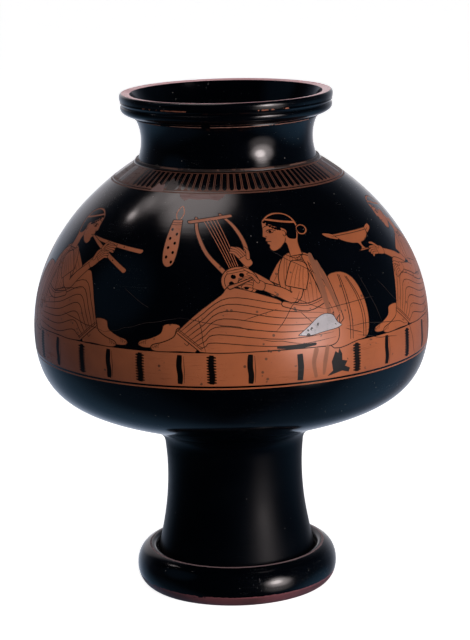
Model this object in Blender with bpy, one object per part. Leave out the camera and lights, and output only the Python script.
"""Attic psykter, a wine cooler: one thrown and fired clay vessel on a tall stem and a round foot.

Full of wine, it floated in a larger bowl of cold water. It is hollow from the mouth down into the
stem, and it stands on the flat ring under its foot.
Units are metres, +Z is up, and the origin is the centre of the plane that the foot rests on.
"""

import math

import bpy
from mathutils import Vector
from mathutils.geometry import interpolate_bezier

# Driving dimensions. A radius is taken from the vessel's axis, a level from the resting plane.
HEIGHT = 0.340
MOUTH_RADIUS = 0.0645
LIP_RADIUS = 0.0715
LIP_FOOT_RADIUS = 0.0620
LIP_FOOT_LEVEL = 0.3243
NECK_WAIST_RADIUS = 0.0577
NECK_WAIST_LEVEL = 0.3085
RIDGE_RADIUS = 0.0616
RIDGE_LEVEL = 0.2953
BELLY_RADIUS = 0.1342
BELLY_LEVEL = 0.1815
UNDERBELLY_RADIUS = 0.0600
UNDERBELLY_LEVEL = 0.1125
STEM_TOP_RADIUS = 0.0476
STEM_TOP_LEVEL = 0.1000
STEM_WAIST_RADIUS = 0.0464
STEM_WAIST_LEVEL = 0.0800
STEM_FOOT_RADIUS = 0.0542
STEM_FOOT_LEVEL = 0.0225
FOOT_CREST_RADIUS = 0.0583
FOOT_CREST_LEVEL = 0.0258
FOOT_RADIUS = 0.0691
FOOT_LEVEL = 0.0115
RESTING_OUTER_RADIUS = 0.0639
RESTING_INNER_RADIUS = 0.0520
UNDERSIDE_RECESS = 0.0035

# How far the wall moves out for each unit it drops
MOUTH_SLOPE = -0.25
LIP_TAPER = -0.15
LIP_UNDERSIDE_SLOPE = -4.0
NECK_TOP_SLOPE = -0.5
NECK_FOOT_SLOPE = 0.3
SHOULDER_SLOPE = 1.6
UNDERBELLY_SLOPE = -1.9
STEM_TOP_SLOPE = -0.1
STEM_FOOT_SLOPE = 0.24

# How long a curve holds its direction at its start and at its end, as shares of the span it covers
EVEN_PULLS = (0.36, 0.36)
FULL_PULLS = (0.55, 0.36)
FOOT_TOP_PULLS = (0.35, 0.47)
FOOT_SIDE_PULLS = (0.47, 0.24)

# Edges, cut lines and the ridge at the foot of the neck
RIM_ROUNDING = 0.0015
GROOVE_LEVELS = (0.3360, 0.3330)
GROOVE_WIDTH = 0.0013
GROOVE_DEPTH = 0.0007
LIP_TURN_LEVEL = 0.3295
NECK_STEP = 0.0010
RIDGE_HEIGHT = 0.0026
RIDGE_DEPTH = 0.0018
JOINT_GROOVE = 0.0010

# The wall, which the potter left thickest in the stem
NECK_WALL = 0.0060
BODY_WALL = 0.0065
STEM_WALL = 0.0085
FLOOR_LEVEL = 0.0150
FLOOR_ROUNDING = 0.0070

OUT = Vector((1.0, 0.0, 0.0))
DOWN = Vector((0.0, 0.0, -1.0))
SEGMENTS = 52
SLIP_BLACK = (0.012, 0.012, 0.015, 1.0)


def at(radius, level):
    """A point of the half-section, which lies in the XZ plane."""
    return Vector((radius, 0.0, level))


def heading(out, down):
    """The unit direction that goes this far out for this far down."""
    return at(out, -down).normalized()


def bend(section, leave, arrive, end, steps, pulls=EVEN_PULLS):
    """Carry the section on to end by a smooth curve that sets off along leave and comes in along arrive."""
    start = section[-1]
    span = (end - start).length
    leave_handle = start + pulls[0] * span * leave
    arrive_handle = end - pulls[1] * span * arrive
    section += interpolate_bezier(start, leave_handle, arrive_handle, end, steps + 1)[1:]


def lip_face_radius(level):
    """The lip's outer face draws in a little as it goes down."""
    return LIP_RADIUS + LIP_TAPER * (HEIGHT - RIM_ROUNDING - level)


def add_lip(section):
    """The flat rim, its rounded edge, the face with its two grooves and the turn under it."""
    section.append(at(LIP_RADIUS - RIM_ROUNDING, HEIGHT))
    bend(section, OUT, DOWN, at(LIP_RADIUS, HEIGHT - RIM_ROUNDING), 2)
    for groove in GROOVE_LEVELS:
        for shift, depth in ((0.5, 0.0), (0.0, GROOVE_DEPTH), (-0.5, 0.0)):
            level = groove + shift * GROOVE_WIDTH
            section.append(at(lip_face_radius(level) - depth, level))
    section.append(at(lip_face_radius(LIP_TURN_LEVEL), LIP_TURN_LEVEL))
    lip_foot = at(LIP_FOOT_RADIUS, LIP_FOOT_LEVEL)
    bend(section, heading(LIP_TAPER, 1), heading(LIP_UNDERSIDE_SLOPE, 1), lip_foot, 3)


def add_neck(section):
    """A fine step under the lip, the waisted neck and the ridge at its foot."""
    section.append(at(LIP_FOOT_RADIUS, LIP_FOOT_LEVEL - NECK_STEP))
    section.append(at(LIP_FOOT_RADIUS - NECK_STEP, LIP_FOOT_LEVEL - 1.5 * NECK_STEP))
    bend(section, heading(NECK_TOP_SLOPE, 1), DOWN, at(NECK_WAIST_RADIUS, NECK_WAIST_LEVEL), 3)
    neck_foot = at(RIDGE_RADIUS - RIDGE_DEPTH, RIDGE_LEVEL + 0.5 * RIDGE_HEIGHT)
    bend(section, DOWN, heading(NECK_FOOT_SLOPE, 1), neck_foot, 3)
    section.append(at(RIDGE_RADIUS - 0.3 * RIDGE_DEPTH, neck_foot.z))
    section.append(at(RIDGE_RADIUS, RIDGE_LEVEL))
    section.append(at(RIDGE_RADIUS + 0.3 * RIDGE_DEPTH, RIDGE_LEVEL - 0.5 * RIDGE_HEIGHT))


def add_body(section):
    """The round-shouldered belly, drawn in steeply below to the top of the stem."""
    shoulder, underbelly = heading(SHOULDER_SLOPE, 1), heading(UNDERBELLY_SLOPE, 1)
    bend(section, shoulder, DOWN, at(BELLY_RADIUS, BELLY_LEVEL), 12)
    bend(section, DOWN, underbelly, at(UNDERBELLY_RADIUS, UNDERBELLY_LEVEL), 10, FULL_PULLS)
    bend(section, underbelly, heading(STEM_TOP_SLOPE, 1), at(STEM_TOP_RADIUS, STEM_TOP_LEVEL), 3)


def add_stem(section):
    """The tall stem, slightly waisted and widening to its joint with the foot."""
    bend(section, heading(STEM_TOP_SLOPE, 1), DOWN, at(STEM_WAIST_RADIUS, STEM_WAIST_LEVEL), 2)
    bend(section, DOWN, heading(STEM_FOOT_SLOPE, 1), at(STEM_FOOT_RADIUS, STEM_FOOT_LEVEL), 5)


def add_foot(section):
    """The round foot, from its joint with the stem over its crest, and the underside it rests on."""
    section.append(at(STEM_FOOT_RADIUS + 0.5 * JOINT_GROOVE, STEM_FOOT_LEVEL - JOINT_GROOVE))
    section.append(at(STEM_FOOT_RADIUS + JOINT_GROOVE, STEM_FOOT_LEVEL + 0.5 * JOINT_GROOVE))
    bend(section, heading(1, -2), OUT, at(FOOT_CREST_RADIUS, FOOT_CREST_LEVEL), 2)
    bend(section, OUT, DOWN, at(FOOT_RADIUS, FOOT_LEVEL), 4, FOOT_TOP_PULLS)
    bend(section, DOWN, heading(-5, 3), at(RESTING_OUTER_RADIUS, 0.0), 3, FOOT_SIDE_PULLS)
    section.append(at(RESTING_INNER_RADIUS, 0.0))
    section.append(at(RESTING_INNER_RADIUS - UNDERSIDE_RECESS, UNDERSIDE_RECESS))
    section.append(at(0.0, UNDERSIDE_RECESS))


def inside_section():
    """The inner face of the wall, from the rim's inner edge down to the middle of the stem's floor."""
    shoulder, underbelly = heading(SHOULDER_SLOPE, 1), heading(UNDERBELLY_SLOPE, 1)
    stem_radius = STEM_WAIST_RADIUS - STEM_WALL
    section = [at(MOUTH_RADIUS, HEIGHT)]
    neck_level = NECK_WAIST_LEVEL - 0.5 * NECK_WALL
    bend(section, heading(MOUTH_SLOPE, 1), DOWN, at(NECK_WAIST_RADIUS - NECK_WALL, neck_level), 4)
    bend(section, DOWN, shoulder, at(NECK_WAIST_RADIUS, RIDGE_LEVEL - BODY_WALL), 3)
    bend(section, shoulder, DOWN, at(BELLY_RADIUS - BODY_WALL, BELLY_LEVEL), 6)
    inner_underbelly = at(UNDERBELLY_RADIUS - 0.5 * BODY_WALL, UNDERBELLY_LEVEL + 0.9 * BODY_WALL)
    bend(section, DOWN, underbelly, inner_underbelly, 5, FULL_PULLS)
    bend(section, underbelly, DOWN, at(stem_radius, STEM_TOP_LEVEL), 3)
    section.append(at(stem_radius, FLOOR_LEVEL + FLOOR_ROUNDING))
    bend(section, DOWN, -OUT, at(stem_radius - FLOOR_ROUNDING, FLOOR_LEVEL), 2)
    section.append(at(0.0, FLOOR_LEVEL))
    return section


def vessel_section():
    """The whole half-section: up the inside from the floor, over the rim and down the outside."""
    section = inside_section()[::-1]
    for add_zone in (add_lip, add_neck, add_body, add_stem, add_foot):
        add_zone(section)
    return section


def turned_object(name, section, material):
    """The body of revolution of a half-section about the Z axis."""
    mesh = bpy.data.meshes.new(name)
    edges = [(i, i + 1) for i in range(len(section) - 1)]
    mesh.from_pydata(section, edges, [])
    mesh.materials.append(material)
    turned = bpy.data.objects.new(name, mesh)
    bpy.context.scene.collection.objects.link(turned)
    screw = turned.modifiers.new("Turn on the wheel", "SCREW")
    screw.angle = 2 * math.pi
    screw.steps = SEGMENTS
    screw.render_steps = SEGMENTS
    screw.use_merge_vertices = True
    screw.merge_threshold = 0.0001
    screw.use_smooth_shade = True
    return turned


def fired_clay(name, color, roughness):
    """A Principled material for one surface of the pot."""
    material = bpy.data.materials.new(name)
    material.use_nodes = True
    shader = material.node_tree.nodes["Principled BSDF"]
    shader.inputs["Base Color"].default_value = color
    shader.inputs["Roughness"].default_value = roughness
    shader.inputs["Metallic"].default_value = 0.0
    return material


def main():
    for old in list(bpy.data.objects):
        bpy.data.objects.remove(old, do_unlink=True)
    turned_object("psykter_vessel", vessel_section(), fired_clay("black slip", SLIP_BLACK, 0.2))


main()
